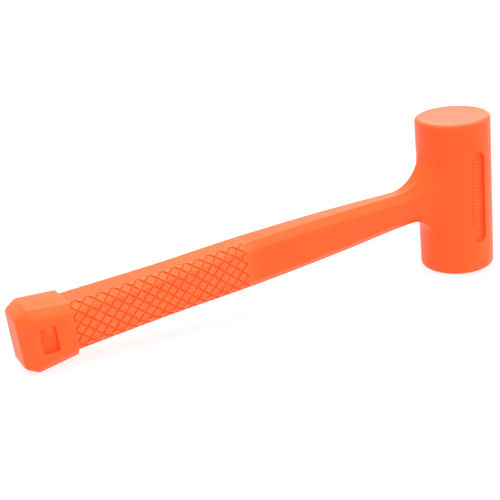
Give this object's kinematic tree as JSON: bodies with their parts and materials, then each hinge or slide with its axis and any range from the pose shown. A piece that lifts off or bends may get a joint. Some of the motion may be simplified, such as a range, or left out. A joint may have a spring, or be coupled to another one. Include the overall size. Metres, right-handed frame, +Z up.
{
  "type": "dead blow mallet",
  "caption": "Urethane dead blow mallet: round head with flat faces, diamond-grip handle, and a sealed steel canister of loose shot that stops rebound.",
  "frame": {"origin": "middle of the footprint's bounding box, on the surface the mallet lies on", "axes": "+X from the butt towards the head, +Y across the mallet away from its slotted side, +Z up; the mallet leans back 6.63 degrees on the rim of its head and the corner of its butt"},
  "size_m": [0.346, 0.05, 0.1107],
  "materials": {
    "urethane": "satin",
    "plug_urethane": "satin",
    "tube_steel": "satin",
    "cap_steel": "satin",
    "bar_steel": "satin",
    "weld_metal": "satin",
    "shot_steel": "satin"
  },
  "bodies": {
    "mallet": {"moulded_cover": "urethane", "butt_plug": "plug_urethane", "canister_tube": "tube_steel", "canister_cap_upper": "cap_steel", "canister_cap_lower": "cap_steel", "cap_weld_upper": "weld_metal", "cap_weld_lower": "weld_metal", "rod_saddle": "bar_steel", "saddle_weld_left": "weld_metal", "saddle_weld_right": "weld_metal", "handle_rod": "bar_steel", "rod_weld": "weld_metal"},
    "shot": {"shot_charge": "shot_steel"}
  },
  "joints": [
    {"name": "shot_slide", "type": "slide", "parent": "mallet", "child": "shot", "axis": [-0.1154, 0, 0.9933], "range_m": [0, 0.015]}
  ]
}
